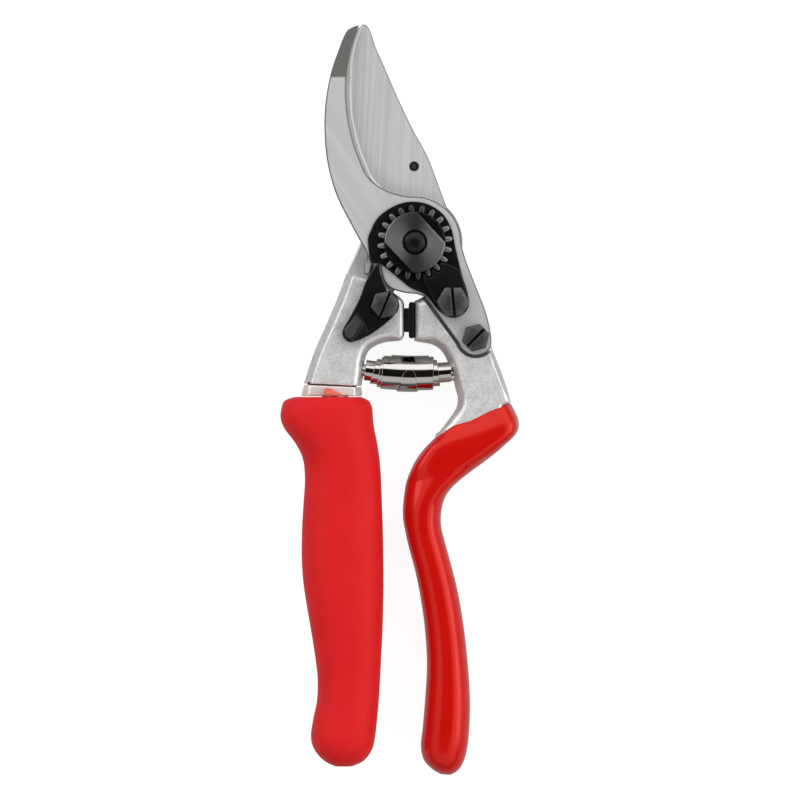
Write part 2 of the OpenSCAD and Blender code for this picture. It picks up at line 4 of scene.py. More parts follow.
import bpy
import numpy as np
import openvdb as vdb
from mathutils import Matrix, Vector

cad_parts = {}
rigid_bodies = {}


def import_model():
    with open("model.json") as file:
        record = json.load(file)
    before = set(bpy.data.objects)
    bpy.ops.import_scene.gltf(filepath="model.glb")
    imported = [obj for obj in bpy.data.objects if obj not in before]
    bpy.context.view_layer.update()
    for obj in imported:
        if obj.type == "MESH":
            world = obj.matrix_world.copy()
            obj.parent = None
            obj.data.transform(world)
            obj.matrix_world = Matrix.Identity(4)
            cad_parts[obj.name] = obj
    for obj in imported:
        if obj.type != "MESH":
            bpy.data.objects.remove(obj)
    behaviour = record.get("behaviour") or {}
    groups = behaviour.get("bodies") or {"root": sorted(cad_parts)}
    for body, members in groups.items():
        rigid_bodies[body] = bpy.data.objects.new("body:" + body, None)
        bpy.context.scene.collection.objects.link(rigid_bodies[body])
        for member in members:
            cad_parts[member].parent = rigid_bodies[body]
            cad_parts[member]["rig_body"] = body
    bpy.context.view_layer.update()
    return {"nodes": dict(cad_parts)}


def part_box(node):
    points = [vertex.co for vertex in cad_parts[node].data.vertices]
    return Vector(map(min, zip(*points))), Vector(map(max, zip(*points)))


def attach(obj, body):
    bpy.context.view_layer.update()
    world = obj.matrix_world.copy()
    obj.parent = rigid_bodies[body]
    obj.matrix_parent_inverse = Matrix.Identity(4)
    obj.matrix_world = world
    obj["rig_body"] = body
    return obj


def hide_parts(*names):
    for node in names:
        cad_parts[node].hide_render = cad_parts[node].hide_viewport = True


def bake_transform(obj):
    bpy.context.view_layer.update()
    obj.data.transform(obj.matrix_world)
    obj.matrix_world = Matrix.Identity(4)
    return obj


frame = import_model()
MM = 0.001


# Centres of the fasteners in the XY plane, in millimetres as in the CAD model
PIVOT = (0, 0)
PIN_AT = (-0.2, 21.4)
RIVET_AT = (-8.6, -4.7)
CATCH_AT = (-8.3, -17.4)
SEGMENT_AT = (10.7, -16.6)
TANG_AT = (17, -26.6)


# ---------------------------------------------------------------- meshes


def new_object(name, points, faces, materials=()):
    """Smooth mesh object from points in millimetres."""
    points = np.asarray(points, float)
    mesh = bpy.data.meshes.new(name)
    mesh.from_pydata((points * MM).tolist(), [], [list(f) for f in faces])
    for material in materials:
        mesh.materials.append(material)
    mesh.polygons.foreach_set("use_smooth", np.full(len(mesh.polygons), True))
    mesh.update()
    obj = bpy.data.objects.new(name, mesh)
    bpy.context.scene.collection.objects.link(obj)
    return obj


def ring_faces(count, sides):
    """Quads between successive rings of points."""
    faces = []
    for first in range(0, (count - 1) * sides, sides):
        for i in range(sides):
            j = (i + 1) % sides
            faces.append((first + i, first + j, first + sides + j, first + sides + i))
    return faces


def end_faces(count, sides):
    """The flat faces that close the first and the last ring."""
    return [tuple(reversed(range(sides))), tuple((count - 1) * sides + i for i in range(sides))]


def tube(name, rings, materials=()):
    """Closed skin through rings of points."""
    rings = np.asarray(rings, float)
    count, sides = rings.shape[:2]
    faces = ring_faces(count, sides) + end_faces(count, sides)
    obj = new_object(name, rings.reshape(-1, 3), faces, materials)
    outward(obj)
    return obj


def points_of(obj):
    """The object's points in millimetres."""
    co = np.zeros(len(obj.data.vertices) * 3)
    obj.data.vertices.foreach_get("co", co)
    return co.reshape(-1, 3) / MM


def triangles_of(obj):
    """The object's points in millimetres, and its triangles as rows of three point numbers."""
    obj.data.calc_loop_triangles()
    tri = np.zeros(len(obj.data.loop_triangles) * 3, np.int32)
    obj.data.loop_triangles.foreach_get("vertices", tri)
    return points_of(obj), tri.reshape(-1, 3)


def outward(obj):
    """Turns the faces outwards."""
    points, triangles = triangles_of(obj)
    a, b, c = (points[triangles[:, k]] for k in range(3))
    if np.einsum("ij,ij->i", a, np.cross(b, c)).sum() < 0:
        obj.data.flip_normals()


def mark(obj, name, values):
    """Stores a value on each point, for its material."""
    attribute = obj.data.attributes.new(name, "FLOAT", "POINT")
    attribute.data.foreach_set("value", np.asarray(values, np.float32))


def box_mm(node):
    """Low and high corner of a CAD node in millimetres."""
    return (np.array(corner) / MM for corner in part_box(node))


def spline(points, steps):
    """Smooth curve through the rows of points, steps points to each span."""
    p = np.asarray(points, float)
    out = []
    for i in range(len(p) - 1):
        a, b, c, d = p[max(i - 1, 0)], p[i], p[i + 1], p[min(i + 2, len(p) - 1)]
        for k in range(steps):
            t = k / steps
            out.append(0.5 * (2 * b + (c - a) * t + (2 * a - 5 * b + 4 * c - d) * t * t
                              + (3 * b - a - 3 * c + d) * t ** 3))
    out.append(p[-1])
    return np.array(out)


def oval(a, b, z, half, power, sides, draft=0.0):
    """Rounded section between the outline points a and b, half thick above and below z.
    draft is the share of its width that it loses towards its flat faces."""
    a, b = np.asarray(a, float), np.asarray(b, float)
    w = np.linspace(0, 2 * math.pi, sides, endpoint=False)
    u = np.sign(np.cos(w)) * np.abs(np.cos(w)) ** (2 / power)
    v = np.sign(np.sin(w)) * np.abs(np.sin(w)) ** (2 / power)
    u *= 1 - draft * np.abs(v)
    middle, reach = (a + b) / 2, (b - a) / 2
    return np.column_stack([middle[0] + reach[0] * u, middle[1] + reach[1] * u, z + half * v])


# ---------------------------------------------------------------- distance fields


def cut_at(node, height):
    """Line segments where the CAD node crosses that height, in millimetres."""
    co, triangles = triangles_of(frame["nodes"][node])
    corner = co[triangles]
    nxt = np.roll(corner, -1, axis=1)
    d0, d1 = corner[:, :, 2] - height, nxt[:, :, 2] - height
    crosses = (d0 < 0) != (d1 < 0)
    t = d0 / np.where(crosses, d0 - d1, 1)
    points = corner + (nxt - corner) * t[:, :, None]
    return points[crosses].reshape(-1, 2, 3)[:, :, :2].round(4)


def loop_segments(points):
    """The segments of a closed outline through the points."""
    p = np.asarray(points, float)
    return np.stack([p, np.roll(p, -1, axis=0)], axis=1)


def away_from(segments, centre, radius):
    """The segments without those of a hole round centre."""
    middle = segments.mean(axis=1)
    return segments[np.hypot(*(middle - np.asarray(centre)).T) > radius]


def signed(x, y, segments):
    """Distance to the outline made of segments, negative inside it."""
    best = np.full(np.broadcast(x, y).shape, 1e9)
    inside = np.zeros(best.shape, bool)
    # A row just beside y, so that it never runs through a corner of the outline
    row = y + 0.00003
    for (ax, ay), (bx, by) in segments:
        ex, ey = bx - ax, by - ay
        length = ex * ex + ey * ey
        if length < 1e-12:
            continue
        t = np.clip(((x - ax) * ex + (y - ay) * ey) / length, 0, 1)
        best = np.minimum(best, (x - ax - t * ex) ** 2 + (y - ay - t * ey) ** 2)
        if ay != by:
            inside ^= ((ay > row) != (by > row)) & (x < ax + (row - ay) * ex / ey)
    return np.where(inside, -np.sqrt(best), np.sqrt(best))


def both(a, b, radius):
    """Common part of two fields, its edge rounded."""
    u, v = a + radius, b + radius
    return np.minimum(np.maximum(u, v), 0) + np.hypot(np.maximum(u, 0), np.maximum(v, 0)) - radius


def forging(z, outline, low_z, high_z, draft, radius):
    """Plate with drafted sides that slope in towards both faces, and rounded edges."""
    middle, half = (low_z + high_z) / 2, (high_z - low_z) / 2
    slope = draft / half
    side = (outline + slope * np.abs(z - middle)) / np.hypot(1, slope)
    return both(side, np.abs(z - middle) - half, radius)


def skin(name, field, low, high, step, materials=()):
    """Surface of a field of (x, y, z) in millimetres between two corners."""
    x, y, z = (np.arange(low[k] - 2 * step, high[k] + 2.5 * step, step) for k in range(3))
    values = field(x[:, None, None], y[None, :, None], z[None, None, :])
    return from_values(name, values, np.array([x[0], y[0], z[0]]), step, materials)


def level_of(node, step):
    """Distance field of a CAD node on a grid, and the grid's corner, in millimetres."""
    width, pad = 6, 3
    co, triangles = triangles_of(frame["nodes"][node])
    low = np.floor(co.min(0) / step).astype(int) - pad
    high = np.ceil(co.max(0) / step).astype(int) + pad
    grid = vdb.FloatGrid.createLevelSetFromPolygons(
        co.astype(np.float32), triangles=triangles.astype(np.uint32),
        transform=vdb.createLinearTransform(step), halfWidth=width)
    values = np.full(high - low + 1, width * step, np.float32)
    grid.copyToArray(values, ijk=tuple(int(v) for v in low))
    return values, low * step


def blurred(values, times):
    """The field with its edges softened."""
    for _ in range(times):
        for axis in range(3):
            padded = np.concatenate([values.take([0], axis), values, values.take([-1], axis)], axis)
            n = values.shape[axis]
            values = (padded.take(range(n), axis) + 2 * values + padded.take(range(2, n + 2), axis)) / 4
    return values


def from_values(name, values, origin, step, materials=()):
    """Surface where the values on a grid are zero."""
    grid = vdb.FloatGrid(5.0)
    grid.copyFromArray(np.ascontiguousarray(values, dtype=np.float32))
    points, quads = grid.convertToQuads(isovalue=0.0)
    obj = new_object(name, np.asarray(points) * step + origin, quads.tolist(), materials)
    outward(obj)
    return obj


# ---------------------------------------------------------------- materials


class Shader:
    """A node material. Texture positions are in millimetres on the object itself."""

    def __init__(self, name):
        self.material = bpy.data.materials.new(name)
        self.material.use_nodes = True
        self.tree = self.material.node_tree
        self.tree.nodes.clear()
        self.output = self.add("ShaderNodeOutputMaterial")
        place = self.add("ShaderNodeTexCoord")
        self.place = self.add("ShaderNodeMapping", {"Vector": place.outputs["Object"],
                                                    "Scale": (1 / MM,) * 3}).outputs[0]

    def add(self, kind, inputs=None, **settings):
        """New node. Its inputs are values, or outputs of other nodes."""
        node = self.tree.nodes.new(kind)
        for key, value in settings.items():
            setattr(node, key, value)
        for key, value in (inputs or {}).items():
            if isinstance(value, bpy.types.NodeSocket):
                self.tree.links.new(value, node.inputs[key])
            else:
                node.inputs[key].default_value = value
        return node

    def scaled(self, scale, turn=0.0):
        """Positions turned about Z by turn degrees, then scaled."""
        out = self.place
        if turn:
            rotation = (0, 0, math.radians(turn))
            out = self.add("ShaderNodeMapping", {"Vector": out, "Rotation": rotation}).outputs[0]
        return self.add("ShaderNodeMapping", {"Vector": out, "Scale": scale}).outputs[0]

    def noise(self, scale, detail=3.0, rough=0.6, turn=0.0):
        """Noise with scale waves to a millimetre, along each axis or along all of them."""
        place = self.scaled(scale if isinstance(scale, tuple) else (scale,) * 3, turn)
        return self.add("ShaderNodeTexNoise", {"Vector": place, "Scale": 1.0, "Detail": detail,
                                               "Roughness": rough}).outputs[0]

    def maths(self, operation, a, b=0.0):
        """Result of the operation on a and b, which are values or outputs."""
        node = self.add("ShaderNodeMath", operation=operation)
        for socket, value in zip(node.inputs, (a, b)):
            if isinstance(value, bpy.types.NodeSocket):
                self.tree.links.new(value, socket)
            else:
                socket.default_value = value
        return node.outputs[0]

    def span(self, value, low, high):
        """value from 0..1 to low..high."""
        return self.add("ShaderNodeMapRange", {"Value": value, "To Min": low, "To Max": high}).outputs[0]

    def colour(self, value, *stops):
        """Colour ramp over value: stops are (position, (r, g, b))."""
        node = self.add("ShaderNodeValToRGB", {"Fac": value})
        ramp = node.color_ramp
        while len(ramp.elements) < len(stops):
            ramp.elements.new(0.5)
        for element, (position, rgb) in zip(ramp.elements, stops):
            element.position = position
            element.color = (*rgb, 1)
        return node.outputs[0]

    def bump(self, height, distance, strength):
        """distance in millimetres."""
        return self.add("ShaderNodeBump", {"Height": height, "Distance": distance * MM,
                                           "Strength": strength}).outputs[0]

    def stored(self, name):
        """Value that mark() stored on the points."""
        return self.add("ShaderNodeAttribute", attribute_name=name).outputs["Fac"]

    def mix(self, share, first, second):
        """Colour first where share is 0, and second where it is 1."""
        return self.add("ShaderNodeMix", {"Factor": share, 6: first, 7: second}, data_type="RGBA").outputs[2]

    def surface(self, **inputs):
        """Ends the material with one Principled surface."""
        node = self.add("ShaderNodeBsdfPrincipled", {k.replace("_", " "): v for k, v in inputs.items()})
        self.tree.links.new(node.outputs[0], self.output.inputs["Surface"])
        return self.material


def grey(value):
    return (value, value, value)


def toned(colour, share):
    """The colour made lighter or darker by share."""
    return tuple(share * c for c in colour)


def forged(name, low, high, grain=0.12):
    """Blasted light metal with a fine grain. Points marked as painted shade are dark brown: painted shade in
    a gap between parts.
    """
    s = Shader(name)
    fine = s.noise(1.9, 4, 0.65)
    broad = s.noise(0.4, 3, 0.5)
    mixed = s.maths("ADD", s.maths("MULTIPLY", fine, 0.65), s.maths("MULTIPLY", broad, 0.35))
    base = s.colour(mixed, (0.36, low), (0.64, high))
    # Dark brown painted shade, for the points marked as painted shade
    shade_colour = s.colour(mixed, (0.3, (0.13, 0.045, 0.04)), (0.7, (0.17, 0.06, 0.05)))
    base = s.mix(s.stored("painted_shade"), base, shade_colour)
    return s.surface(Base_Color=base, Metallic=0.75, Roughness=s.span(fine, 0.44, 0.56),
                     Normal=s.bump(mixed, grain, 0.9))


def ground(name, turn, tone, depth, painted_mark, painted_colour, rough=0.5):
    """Ground blade steel with fine streaks along one direction.
    Points under the painted mark take a painted colour: a painted highlight on the cutting blade's land
    and a painted dark reflection on the counter blade's relief. Points marked edge are dark: a painted dark
    reflection."""
    s = Shader(name)
    streak = s.noise((3.2, 0.014, 1.0), 5, 0.7, turn)
    broad = s.noise((0.4, 0.008, 0.3), 2, 0.5, turn)
    mixed = s.maths("ADD", s.maths("MULTIPLY", streak, 0.7), s.maths("MULTIPLY", broad, 0.3))
    base = s.colour(mixed, (0.34, grey(tone * (1 - depth))), (0.66, grey(tone * (1 + depth))))
    # Painted highlight or painted dark reflection, depending on the blade
    spot = s.colour(mixed, (0.3, toned(painted_colour, 0.96)), (0.7, toned(painted_colour, 1.04)))
    base = s.mix(s.stored(painted_mark), base, spot)
    # Painted dark reflection along the edges
    dark = s.colour(mixed, (0.3, grey(0.13)), (0.7, grey(0.17)))
    base = s.mix(s.stored("edge"), base, dark)
    return s.surface(Base_Color=base, Metallic=1.0, Roughness=s.span(mixed, rough - 0.04, rough + 0.04),
                     Normal=s.bump(streak, 0.012, 0.5))


def blackened(name, low, high, rough=0.38, metallic=0.7, bump=0.01, shine=0.5):
    """Blackened metal or rubber. Points marked as painted shade are far darker: painted shade in screw
    slots, round the pin's head and on the catch's inner facet.
    """
    s = Shader(name)
    mottle = s.noise(1.1, 4, 0.65)
    base = s.colour(mottle, (0.3, grey(low)), (0.7, grey(high)))
    # Near black painted shade
    shade_colour = s.colour(mottle, (0.3, grey(low * 0.04)), (0.7, grey(high * 0.04)))
    base = s.mix(s.stored("painted_shade"), base, shade_colour)
    return s.surface(Base_Color=base, Metallic=metallic,
                     Roughness=s.span(mottle, rough - 0.06, rough + 0.06),
                     Normal=s.bump(s.noise(5, 3), bump, 0.6), Specular_IOR_Level=shine)


def turned(name):
    """Blackened nut face, turned on a lathe, with a painted reflection: lighter to the left and right than
    up and down.
    Points marked as painted shade are black: painted shade in the groove and on the flange by the flats."""
    s = Shader(name)
    axes = s.add("ShaderNodeSeparateXYZ", {"Vector": s.place})
    x, y = axes.outputs[0], axes.outputs[1]
    xx = s.maths("MULTIPLY", x, x)
    share = s.maths("DIVIDE", xx, s.maths("ADD", xx, s.maths("MULTIPLY", y, y)))
    radius = s.add("ShaderNodeVectorMath", {0: s.place}, operation="LENGTH").outputs["Value"]
    grooves = s.maths("SINE", s.maths("MULTIPLY", radius, 14.0))
    # Painted reflection: the face is lighter to the left and right than up and down
    base = s.colour(share, (0.0, grey(0.05)), (0.5, grey(0.17)), (1.0, grey(0.25)))
    shade_colour = s.colour(share, (0.0, grey(0.002)), (1.0, grey(0.006)))
    base = s.mix(s.stored("painted_shade"), base, shade_colour)
    return s.surface(Base_Color=base, Metallic=0.8, Roughness=s.span(s.noise(0.8), 0.34, 0.44),
                     Normal=s.bump(grooves, 0.004, 0.4))


def plastic(name, low, high, rough, bump, shine, tint=(1, 1, 1)):
    """Plastic with a faint cloud and a fine grain. tint colours its reflections."""
    s = Shader(name)
    base = s.colour(s.noise(0.108, 2), (0.3, low), (0.7, high))
    return s.surface(Base_Color=base, Roughness=s.span(s.noise(0.9, 3), rough - 0.03, rough + 0.03),
                     Normal=s.bump(s.noise(2.25, 3), bump, 0.5), IOR=1.5,
                     Specular_IOR_Level=shine, Specular_Tint=(*tint, 1))


def chrome(name, tone, warm, rough=0.07):
    """Polished metal. warm is the share of blue in its colour."""
    s = Shader(name)
    bright = (tone, tone * (1 + warm) / 2, tone * warm)
    base = s.colour(s.noise(0.6, 3), (0.3, toned(bright, 0.94)), (0.7, bright))
    polish = s.span(s.noise(2.5, 3), rough - 0.02, rough + 0.03)
    return s.surface(Base_Color=base, Metallic=1.0, Roughness=polish,
                     Normal=s.bump(s.noise((0.3, 6, 6), 3), 0.004, 0.5))


FORGED = forged("Forged", (0.58, 0.58, 0.575), (0.86, 0.86, 0.855))
COLLAR = forged("Collar_metal", (0.84, 0.77, 0.74), (0.93, 0.88, 0.85), 0.04)
# The land's lighter colour is a painted highlight
CUT_STEEL = ground("Cutting_steel", 3.0, 0.77, 0.16, "land", (0.82, 0.79, 0.75))
# The relief's dark colour is a painted dark reflection
COUNTER_STEEL = ground("Counter_steel", -35.0, 0.77, 0.07, "relief", (0.17, 0.17, 0.165))
DARK = blackened("Dark_screws", 0.045, 0.095, 0.34)
BOLT_BLACK = blackened("Black_bolt", 0.008, 0.018, 0.25, 0.7, 0.01, 0.25)
PLATE_BLACK = blackened("Black_plate", 0.009, 0.018, 0.34, 0.7, 0.01, 0.4)
CATCH_BLACK = blackened("Black_catch", 0.018, 0.034, 0.2, 0.7, 0.01, 0.25)
# The nut's face has a painted reflection and painted shade
NUT = turned("Turned_nut_painted_sheen")
RUBBER = blackened("Rubber", 0.003, 0.008, 0.5, 0.0, 0.03, 0.12)
CHROME = chrome("Chrome", 0.5, 0.9)
AXLE = chrome("Axle_steel", 0.6, 0.98, 0.25)
BRONZE = chrome("Bronze", 0.5, 0.45, 0.3)
RED_GRIP = plastic("Red_grip", (0.64, 0.012, 0.014), (0.68, 0.015, 0.017), 0.5, 0.012, 0.3,
                   (1, 0.3, 0.3))
RED_COAT = plastic("Red_coat", (0.55, 0.005, 0.003), (0.58, 0.006, 0.004), 0.2, 0.004, 1.0,
                   (1, 0.22, 0.18))
ORANGE = plastic("Orange_nylon", (0.70, 0.14, 0.08), (0.76, 0.17, 0.10), 0.45, 0.01, 0.4)


# ---------------------------------------------------------------- small pieces


def keep_cad(node, material):
    """Gives a CAD node its material."""
    obj = frame["nodes"][node]
    obj.data.materials.clear()
    obj.data.materials.append(material)


def softened(node, material, step=0.14, times=3, cut=None):
    """Piece in the CAD node's shape with its edges rounded.
    cut takes the distance field with x, y and z, and returns a changed field."""
    values, origin = level_of(node, step)
    if cut:
        x, y, z = (origin[k] + step * np.arange(values.shape[k]) for k in range(3))
        values = cut(values, x[:, None, None], y[None, :, None], z[None, None, :])
    obj = from_values(node + "_form", blurred(values, times), origin, step, [material])
    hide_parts(node)
    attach(obj, frame["nodes"][node]["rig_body"])
    return obj


def screw(node, centre, top, turn):
    """Slotted hexagon screw with a slightly domed head and painted shade in its slot, turned by turn
    degrees.
    """
    ball, slot_half, slot_depth = 13.0, 0.46, 1.3

    def dome(values, x, y, z):
        return np.maximum(values, np.sqrt((x - centre[0]) ** 2 + (y - centre[1]) ** 2
                                          + (z - top + ball) ** 2) - ball)

    obj = softened(node, DARK, 0.12, 2, dome)
    points = points_of(obj)
    a = math.radians(turn)
    off = np.abs((points[:, 1] - centre[1]) * math.cos(a) - (points[:, 0] - centre[0]) * math.sin(a))
    # Painted shade darkens the slot
    mark(obj, "painted_shade", np.clip((slot_half - off) / 0.12, 0, 1) * (points[:, 2] > top - slot_depth))


# Ridge of the catch's thumb pad, from its upper to its lower end
RIDGE = np.array([(-14.2, -21.9), (-17.5, -27.4)])
RIDGE_Z = 20.9
PAD_Z = 19.2


def past_ridge(x, y):
    """Distance from the ridge, positive on its inner side."""
    along = (RIDGE[1] - RIDGE[0]) / np.linalg.norm(RIDGE[1] - RIDGE[0])
    return (x - RIDGE[0][0]) * -along[1] + (y - RIDGE[0][1]) * along[0]


def thumb_wedge(values, x, y, z):
    """The thumb pad falls away to both sides of the ridge."""
    side = past_ridge(x, y)
    top = RIDGE_Z - np.where(side > 0, 0.62, 0.5) * np.maximum(np.abs(side) - 0.15, 0)
    return np.maximum(values, np.minimum((z - top) * 0.86, z - PAD_Z))


def make_catch():
    """The catch, the inner facet of its thumb pad darker than the outer one by painted shade."""
    catch = softened("catch_lever", CATCH_BLACK, 0.14, 2, thumb_wedge)
    points = points_of(catch)
    inner = np.clip((past_ridge(points[:, 0], points[:, 1]) - 0.2) / 0.4, 0, 1)
    # Painted shade on the inner facet, which faces away from the light
    mark(catch, "painted_shade", 0.7 * inner * (points[:, 2] > PAD_Z + 0.05))


def make_pin():
    """Pin with a domed head in a ring of painted shade."""
    pin = softened("blade_pin", DARK, 0.08, 3)
    points = points_of(pin)
    radius = np.hypot(points[:, 0] - PIN_AT[0], points[:, 1] - PIN_AT[1])
    # Painted shade in a ring round the head
    mark(pin, "painted_shade", np.clip((radius - 0.7) / 0.15, 0, 1))


def bolt_end(values, x, y, z):
    """Domed end of the pivot bolt."""
    ball, top = 5.5, 21.4
    return np.maximum(values, np.sqrt(x ** 2 + y ** 2 + (z - top + ball) ** 2) - ball)


def swollen(values, x, y, z):
    """Grows the piece, so that rounding its edges leaves it full."""
    return values - 0.22


# Middle level and half thickness of the nut's toothed flange and of its disc
FLANGE = (18.3, 0.95)
DISC = (19.05, 1.5)
# Groove round the bolt's end in the nut's face
GROOVE_R = 3.05
GROOVE_HALF = 0.4
GROOVE_FLOOR = 20.1


def make_nut():
    """Toothed flange with rounded teeth, and the turned disc with two flats on it."""
    step = 0.12
    teeth = away_from(cut_at("toothed_nut", 18.0), PIVOT, 4)
    disc = away_from(cut_at("toothed_nut", 20.0), PIVOT, 4)

    def field(x, y, z):
        flange = both(signed(x, y, teeth), np.abs(z - FLANGE[0]) - FLANGE[1], 0.6)
        face = both(signed(x, y, disc), np.abs(z - DISC[0]) - DISC[1], 0.25)
        groove = np.maximum(np.abs(np.hypot(x, y) - GROOVE_R) - GROOVE_HALF, GROOVE_FLOOR - z)
        return np.maximum(np.minimum(flange, face), -groove)

    low, high = box_mm("toothed_nut")
    nut = skin("toothed_nut_form", field, low, high, step, [NUT])
    points = points_of(nut)
    r = np.hypot(points[:, 0], points[:, 1])
    # Painted shade: black on the flange beside the flats and in the groove round the bolt's end
    outside = signed(points[:, 0], points[:, 1], disc) > 0.1
    flat = np.clip((8.9 - r) / 0.5, 0, 1) * outside * (points[:, 2] < 20)
    groove = np.clip(1 - (np.abs(r - GROOVE_R) - GROOVE_HALF) / 0.2, 0, 1) * (points[:, 2] < 20.65)
    mark(nut, "painted_shade", np.maximum(flat, groove))
    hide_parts("toothed_nut")
    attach(nut, "right_body")


# Gap between the left handle's foot and the collar
FOOT_GAP = 0.4


def foot_line(x):
    """Level of the left handle's foot, which is cut off a little askew."""
    return -39.35 - (x + 31) * 0.045


def make_collar():
    """Block under the left handle's foot, with a neck in the gap between them that is painted dark brown as
    shade.
    """
    block = loop_segments([(-30, -36), (-15.4, -36), (-14.4, -46), (-32.8, -46)])
    neck = loop_segments([(-30.0, -38.8), (-16.4, -39.5), (-16.4, -42), (-30.0, -42)])

    def field(x, y, z):
        outer = forging(z, signed(x, y, block), 3.6, 15.8, 1.8, 0.4)
        outer = both(outer, np.maximum(y - foot_line(x) + FOOT_GAP, -42.85 - y), 0.12)
        return np.minimum(outer, both(signed(x, y, neck), np.abs(z - 9.7) - 5.3, 0.1))

    low, high = box_mm("axle_collar")
    collar = skin("axle_collar_form", field, low, high, 0.18, [COLLAR])
    points = points_of(collar)
    # Painted shade: the neck in the gap above the collar's top is dark brown
    above = points[:, 1] - foot_line(points[:, 0]) + FOOT_GAP
    mark(collar, "painted_shade", np.clip(above / 0.15 + 0.5, 0, 1))
    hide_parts("axle_collar")
    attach(collar, "left_body")


for node, material, slot in [
    ("heel_rivet", DARK, "dark_steel"),
    ("pivot_bush", BRONZE, "bronze"),
    ("catch_washer", DARK, "dark_steel"),
    ("left_spring_stud", AXLE, "axle_steel"),
    ("right_spring_stud", AXLE, "axle_steel"),
    ("grip_axle", AXLE, "axle_steel"),
    ("axle_washer", AXLE, "axle_steel"),
    ("lower_bush", ORANGE, "orange_nylon"),
]:
    keep_cad(node, material)

for node, material, slot, step, times in [
    ("axle_end_screw", AXLE, "axle_steel", 0.15, 3),
    ("locking_plate", PLATE_BLACK, "black_plate", 0.13, 1),
    ("toothed_segment", PLATE_BLACK, "black_plate", 0.13, 2),
    ("stop_lug", ORANGE, "orange_nylon", 0.12, 3),
    ("upper_bush", ORANGE, "orange_nylon", 0.15, 3),
    ("grip_end_plug", RED_GRIP, "red_grip", 0.15, 3),
]:
    softened(node, material, step, times)

screw("catch_screw", CATCH_AT, 22.5, 68)
screw("segment_screw", SEGMENT_AT, 22.7, 95)
screw("tang_screw", TANG_AT, 19.7, 46)
softened("pivot_bolt", BOLT_BLACK, 0.14, 2, bolt_end)
softened("left_buffer", RUBBER, 0.15, 5, swollen)
softened("right_buffer", RUBBER, 0.15, 7, swollen)
make_nut()
make_collar()
make_pin()
make_catch()


# ---------------------------------------------------------------- blades

# Levels of the blades' back and front
CUT_Z = (9.0, 12.4)
COUNTER_Z = (12.5, 16.5)
# Lower end of the relief on the counter blade's tip
TIP_Y = 46.2
# Inner edge of the cutting blade's land, from the tip down
LAND = [(-15.3, 59.6), (-16.7, 55.4), (-17.6, 51.2), (-17.9, 45.6), (-18.0, 41.4), (-17.6, 35.8),
        (-16.5, 30.2), (-15.3, 26.0), (-13.7, 21.8), (-12.0, 18.2), (-10.3, 16.2), (-8, 13.5)]


def land_share(x, y):
    """1 on the narrow land behind the cutting edge and 0 on the ground face."""
    curve = spline(LAND, 4)
    area = loop_segments([(-13, 66), *curve, (-6, 6), (-40, 6), (-40, 66)])
    return 1 - np.clip(0.5 + signed(x, y, area) / 0.3, 0, 1)


def near_outline(points, plan, width):
    """1 at the points within width of the outline."""
    return np.clip((signed(points[:, 0], points[:, 1], plan) + width) / 0.15, 0, 1)


def make_cutting_blade():
    """Blade whose ground face lies a little lower than the land along its edge."""
    step = 0.18
    values, origin = level_of("cutting_blade", step)
    x, y, z = (origin[k] + step * np.arange(values.shape[k]) for k in range(3))
    land = land_share(x[:, None], y[None, :])
    face = CUT_Z[1] - 0.02 - 0.1 * (1 - land)
    values = np.maximum(values, z[None, None, :] - face[:, :, None])
    blade = from_values("cutting_blade_form", values, origin, step, [CUT_STEEL])
    points = points_of(blade)
    share = land_share(points[:, 0], points[:, 1])
    # Painted highlight: the land is lighter and warmer than the ground face
    mark(blade, "land", share * (points[:, 2] > CUT_Z[1] - 0.5))
    plan = away_from(away_from(cut_at("cutting_blade", 12.3), PIVOT, 6), RIVET_AT, 2)
    # Painted dark reflection along the outer edges, and a painted dark line along the land's inner border
    line = np.clip(1 - np.abs(share - 0.5) * 3, 0, 1) * 0.45
    mark(blade, "edge", np.maximum(near_outline(points, plan, 0.32) * (1 - share), line))
    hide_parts("cutting_blade")
    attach(blade, "left_body")


def make_counter_blade():
    """Hooked blade with a sloping relief on the front of its tip, its dark colour a painted dark reflection.
    """
    step = 0.18
    plan = cut_at("counter_blade", 14.0)
    for centre, radius in [(PIVOT, 6.5), (SEGMENT_AT, 3.3), (TANG_AT, 3.3)]:
        plan = away_from(plan, centre, radius)

    def field(x, y, z):
        outline = signed(x, y, plan)
        middle, half = sum(COUNTER_Z) / 2, (COUNTER_Z[1] - COUNTER_Z[0]) / 2
        solid = both(outline, np.abs(z - middle) - half, 0.2)
        # The relief falls by 8 degrees towards the tip
        relief = (z - COUNTER_Z[1]) * 0.99 + (y - TIP_Y) * 0.139
        return np.maximum(solid, relief)

    low, high = box_mm("counter_blade")
    blade = skin("counter_blade_form", field, low, high, step, [COUNTER_STEEL])
    points = points_of(blade)
    # Painted dark reflection on the relief and along the edges
    mark(blade, "relief", np.clip((points[:, 1] - TIP_Y) / 0.4 + 0.5, 0, 1) * (points[:, 2] > 14.2))
    mark(blade, "edge", near_outline(points, plan, 0.42))
    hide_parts("counter_blade")
    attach(blade, "right_body")


make_cutting_blade()
make_counter_blade()


# ---------------------------------------------------------------- forged handles

# Levels of the handles' faces, the back of the head, the half lap and the tang's seat
HANDLE_Z = (3.4, 16.0)
RING_Z0 = 3.1
LAP_Z = 9.0
SEAT_Z = 12.5
# The half lap: its radius round the pivot, and its outline further out
LAP_R = 15
LAP = [(-24, -6.8), (-20, -8.3), (-15.9, -9.8), (-13.4, -10.4), (-8.5, -12.3), (0, 0), (20, 0),
       (20, 30), (-24, 30)]
# Radius of the seat's round end, about the tang screw
SEAT_END_R = 5.6


def coat_line(x):
    """Level of the coat's edge, which runs from its outer corner down towards the left."""
    return -45.1 - (26.9 - x) * 0.4682


